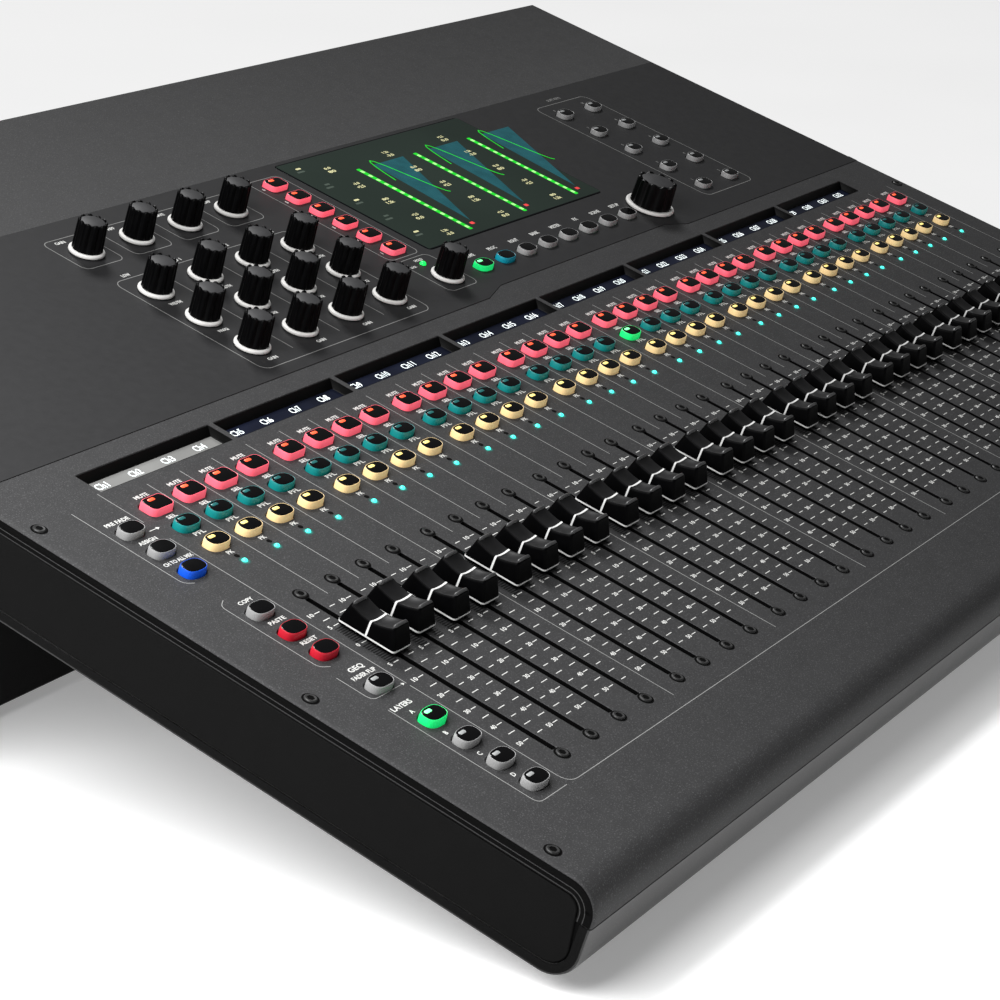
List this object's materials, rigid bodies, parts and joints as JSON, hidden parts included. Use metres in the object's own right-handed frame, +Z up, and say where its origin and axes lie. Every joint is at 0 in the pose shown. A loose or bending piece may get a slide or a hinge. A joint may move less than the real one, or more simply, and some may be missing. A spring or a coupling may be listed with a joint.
{
  "type": "digital mixing console",
  "caption": "Digital mixing console: sloped fader deck with illuminated keys, rotary knobs, channel displays and a touchscreen over a rear pod with audio sockets.",
  "frame": {"origin": "centre of the footprint at table height, under the middle of the overall box", "axes": "+X to the operator's right along the console, +Y from the operator towards the rear sockets, +Z up"},
  "size_m": [0.785, 0.5118, 0.1983],
  "materials": {
    "deck_powder_coat": "fine textured powder coat, satin",
    "control_overlay": "smooth satin overlay film",
    "case_powder_coat": "smooth matt powder coat",
    "display_glass": "glossy dark window",
    "fader_cap": "satin moulded plastic with white lines",
    "knob_plastic": "satin moulded plastic with a white base ring",
    "mute_silicone": "translucent silicone",
    "select_silicone": "translucent silicone",
    "cue_silicone": "translucent silicone",
    "grey_silicone": "translucent silicone",
    "circuit_board": "solder resist",
    "plated_metal": "satin plated metal",
    "socket_shell": "moulded plastic",
    "foot_rubber": "matt rubber"
  },
  "bodies": {
    "console": {"deck_panel": "deck_powder_coat", "control_panel": "control_overlay", "rear_cover": "deck_powder_coat", "front_tray": "case_powder_coat", "pod_tray": "case_powder_coat", "left_cheek": "case_powder_coat", "right_cheek": "case_powder_coat", "rear_panel": "case_powder_coat", "strip_displays": "display_glass", "touchscreen": "display_glass", "control_board": "circuit_board", "key_board": "circuit_board", "fader_mechanisms": "plated_metal", "main_board": "circuit_board", "power_supply": "plated_metal", "input_sockets": "socket_shell", "output_sockets": "socket_shell", "mains_inlet": "socket_shell", "foot_front_left": "foot_rubber", "foot_front_right": "foot_rubber", "foot_rear_left": "foot_rubber", "foot_rear_right": "foot_rubber"},
    "fader_01": {"fader_01": "fader_cap"},
    "fader_02": {"fader_02": "fader_cap"},
    "fader_03": {"fader_03": "fader_cap"},
    "fader_04": {"fader_04": "fader_cap"},
    "fader_bank_05_08": {"fader_bank_05_08": "fader_cap"},
    "fader_bank_09_12": {"fader_bank_09_12": "fader_cap"},
    "fader_bank_13_16": {"fader_bank_13_16": "fader_cap"},
    "fader_bank_17_20": {"fader_bank_17_20": "fader_cap"},
    "fader_bank_21_24": {"fader_bank_21_24": "fader_cap"},
    "fader_bank_25_28": {"fader_bank_25_28": "fader_cap"},
    "fader_bank_29_32": {"fader_bank_29_32": "fader_cap"},
    "main_fader": {"main_fader": "fader_cap"},
    "mute_keys": {"mute_keys": "mute_silicone"},
    "select_keys": {"select_keys": "select_silicone"},
    "cue_keys": {"cue_keys": "cue_silicone"},
    "function_keys": {"function_keys": "grey_silicone"},
    "mute_group_keys": {"mute_group_keys": "mute_silicone"},
    "screen_keys": {"screen_keys": "grey_silicone"},
    "soft_keys": {"soft_keys": "grey_silicone"},
    "knob_1_1": {"knob_1_1": "knob_plastic"},
    "knob_1_2": {"knob_1_2": "knob_plastic"},
    "knob_1_3": {"knob_1_3": "knob_plastic"},
    "knob_1_4": {"knob_1_4": "knob_plastic"},
    "knob_2_1": {"knob_2_1": "knob_plastic"},
    "knob_2_2": {"knob_2_2": "knob_plastic"},
    "knob_2_3": {"knob_2_3": "knob_plastic"},
    "knob_2_4": {"knob_2_4": "knob_plastic"},
    "knob_3_1": {"knob_3_1": "knob_plastic"},
    "knob_3_2": {"knob_3_2": "knob_plastic"},
    "knob_3_3": {"knob_3_3": "knob_plastic"},
    "knob_3_4": {"knob_3_4": "knob_plastic"},
    "knob_back_1": {"knob_back_1": "knob_plastic"},
    "knob_back_2": {"knob_back_2": "knob_plastic"},
    "knob_back_3": {"knob_back_3": "knob_plastic"},
    "knob_back_4": {"knob_back_4": "knob_plastic"},
    "screen_knob": {"screen_knob": "knob_plastic"},
    "wheel_knob": {"wheel_knob": "knob_plastic"},
    "power_rocker": {"power_rocker": "fader_cap"}
  },
  "joints": [
    {"name": "fader_01_slide", "type": "slide", "parent": "console", "child": "fader_01", "axis": [0, 0.9563, 0.2924], "range_m": [-0.0755, 0.0245]},
    {"name": "fader_02_slide", "type": "slide", "parent": "console", "child": "fader_02", "axis": [0, 0.9563, 0.2924], "range_m": [-0.0755, 0.0245]},
    {"name": "fader_03_slide", "type": "slide", "parent": "console", "child": "fader_03", "axis": [0, 0.9563, 0.2924], "range_m": [-0.0755, 0.0245]},
    {"name": "fader_04_slide", "type": "slide", "parent": "console", "child": "fader_04", "axis": [0, 0.9563, 0.2924], "range_m": [-0.0755, 0.0245]},
    {"name": "fader_bank_05_08_slide", "type": "slide", "parent": "console", "child": "fader_bank_05_08", "axis": [0, 0.9563, 0.2924], "range_m": [-0.0755, 0.0245]},
    {"name": "fader_bank_09_12_slide", "type": "slide", "parent": "console", "child": "fader_bank_09_12", "axis": [0, 0.9563, 0.2924], "range_m": [-0.0755, 0.0245]},
    {"name": "fader_bank_13_16_slide", "type": "slide", "parent": "console", "child": "fader_bank_13_16", "axis": [0, 0.9563, 0.2924], "range_m": [-0.0755, 0.0245]},
    {"name": "fader_bank_17_20_slide", "type": "slide", "parent": "console", "child": "fader_bank_17_20", "axis": [0, 0.9563, 0.2924], "range_m": [-0.0755, 0.0245]},
    {"name": "fader_bank_21_24_slide", "type": "slide", "parent": "console", "child": "fader_bank_21_24", "axis": [0, 0.9563, 0.2924], "range_m": [-0.0755, 0.0245]},
    {"name": "fader_bank_25_28_slide", "type": "slide", "parent": "console", "child": "fader_bank_25_28", "axis": [0, 0.9563, 0.2924], "range_m": [-0.0755, 0.0245]},
    {"name": "fader_bank_29_32_slide", "type": "slide", "parent": "console", "child": "fader_bank_29_32", "axis": [0, 0.9563, 0.2924], "range_m": [-0.0755, 0.0245]},
    {"name": "main_fader_slide", "type": "slide", "parent": "console", "child": "main_fader", "axis": [0, 0.9563, 0.2924], "range_m": [-0.0755, 0.0245]},
    {"name": "mute_keys_press", "type": "slide", "parent": "console", "child": "mute_keys", "axis": [0, 0.2924, -0.9563], "range_m": [0, 0.0012], "stiffness_N_per_m": 1500, "springref_m": -0.001},
    {"name": "select_keys_press", "type": "slide", "parent": "console", "child": "select_keys", "axis": [0, 0.2924, -0.9563], "range_m": [0, 0.0012], "stiffness_N_per_m": 1500, "springref_m": -0.001},
    {"name": "cue_keys_press", "type": "slide", "parent": "console", "child": "cue_keys", "axis": [0, 0.2924, -0.9563], "range_m": [0, 0.0012], "stiffness_N_per_m": 1500, "springref_m": -0.001},
    {"name": "function_keys_press", "type": "slide", "parent": "console", "child": "function_keys", "axis": [0, 0.2924, -0.9563], "range_m": [0, 0.0012], "stiffness_N_per_m": 1500, "springref_m": -0.001},
    {"name": "mute_group_keys_press", "type": "slide", "parent": "console", "child": "mute_group_keys", "axis": [0, 0.2924, -0.9563], "range_m": [0, 0.0012], "stiffness_N_per_m": 1500, "springref_m": -0.001},
    {"name": "screen_keys_press", "type": "slide", "parent": "console", "child": "screen_keys", "axis": [0, 0.2924, -0.9563], "range_m": [0, 0.0012], "stiffness_N_per_m": 1500, "springref_m": -0.001},
    {"name": "soft_keys_press", "type": "slide", "parent": "console", "child": "soft_keys", "axis": [0, 0.2924, -0.9563], "range_m": [0, 0.0012], "stiffness_N_per_m": 1500, "springref_m": -0.001},
    {"name": "knob_1_1_turn", "type": "hinge", "parent": "console", "child": "knob_1_1", "pos_m": [-0.1844, 0.0432, 0.1342], "axis": [0, -0.2924, 0.9563], "continuous": true},
    {"name": "knob_1_2_turn", "type": "hinge", "parent": "console", "child": "knob_1_2", "pos_m": [-0.1488, 0.0432, 0.1342], "axis": [0, -0.2924, 0.9563], "continuous": true},
    {"name": "knob_1_3_turn", "type": "hinge", "parent": "console", "child": "knob_1_3", "pos_m": [-0.1132, 0.0432, 0.1342], "axis": [0, -0.2924, 0.9563], "continuous": true},
    {"name": "knob_1_4_turn", "type": "hinge", "parent": "console", "child": "knob_1_4", "pos_m": [-0.0776, 0.0432, 0.1342], "axis": [0, -0.2924, 0.9563], "continuous": true},
    {"name": "knob_2_1_turn", "type": "hinge", "parent": "console", "child": "knob_2_1", "pos_m": [-0.1844, 0.06998, 0.14239], "axis": [0, -0.2924, 0.9563], "continuous": true},
    {"name": "knob_2_2_turn", "type": "hinge", "parent": "console", "child": "knob_2_2", "pos_m": [-0.1488, 0.06998, 0.14239], "axis": [0, -0.2924, 0.9563], "continuous": true},
    {"name": "knob_2_3_turn", "type": "hinge", "parent": "console", "child": "knob_2_3", "pos_m": [-0.1132, 0.06998, 0.14239], "axis": [0, -0.2924, 0.9563], "continuous": true},
    {"name": "knob_2_4_turn", "type": "hinge", "parent": "console", "child": "knob_2_4", "pos_m": [-0.0776, 0.06998, 0.14239], "axis": [0, -0.2924, 0.9563], "continuous": true},
    {"name": "knob_3_1_turn", "type": "hinge", "parent": "console", "child": "knob_3_1", "pos_m": [-0.1844, 0.09666, 0.15055], "axis": [0, -0.2924, 0.9563], "continuous": true},
    {"name": "knob_3_2_turn", "type": "hinge", "parent": "console", "child": "knob_3_2", "pos_m": [-0.1488, 0.09666, 0.15055], "axis": [0, -0.2924, 0.9563], "continuous": true},
    {"name": "knob_3_3_turn", "type": "hinge", "parent": "console", "child": "knob_3_3", "pos_m": [-0.1132, 0.09666, 0.15055], "axis": [0, -0.2924, 0.9563], "continuous": true},
    {"name": "knob_3_4_turn", "type": "hinge", "parent": "console", "child": "knob_3_4", "pos_m": [-0.0776, 0.09666, 0.15055], "axis": [0, -0.2924, 0.9563], "continuous": true},
    {"name": "knob_back_1_turn", "type": "hinge", "parent": "console", "child": "knob_back_1", "pos_m": [-0.1844, 0.13644, 0.16271], "axis": [0, -0.2924, 0.9563], "continuous": true},
    {"name": "knob_back_2_turn", "type": "hinge", "parent": "console", "child": "knob_back_2", "pos_m": [-0.1488, 0.13644, 0.16271], "axis": [0, -0.2924, 0.9563], "continuous": true},
    {"name": "knob_back_3_turn", "type": "hinge", "parent": "console", "child": "knob_back_3", "pos_m": [-0.1132, 0.13644, 0.16271], "axis": [0, -0.2924, 0.9563], "continuous": true},
    {"name": "knob_back_4_turn", "type": "hinge", "parent": "console", "child": "knob_back_4", "pos_m": [-0.0776, 0.13644, 0.16271], "axis": [0, -0.2924, 0.9563], "continuous": true},
    {"name": "screen_knob_turn", "type": "hinge", "parent": "console", "child": "screen_knob", "pos_m": [-0.0275, 0.04339, 0.13426], "axis": [0, -0.2924, 0.9563], "continuous": true},
    {"name": "wheel_knob_turn", "type": "hinge", "parent": "console", "child": "wheel_knob", "pos_m": [0.1716, 0.04205, 0.13385], "axis": [0, -0.2924, 0.9563], "continuous": true},
    {"name": "power_rocker_tilt", "type": "hinge", "parent": "console", "child": "power_rocker", "pos_m": [-0.318, 0.25089, 0.05], "axis": [-1, 0, 0], "range_deg": [0, 20]}
  ]
}
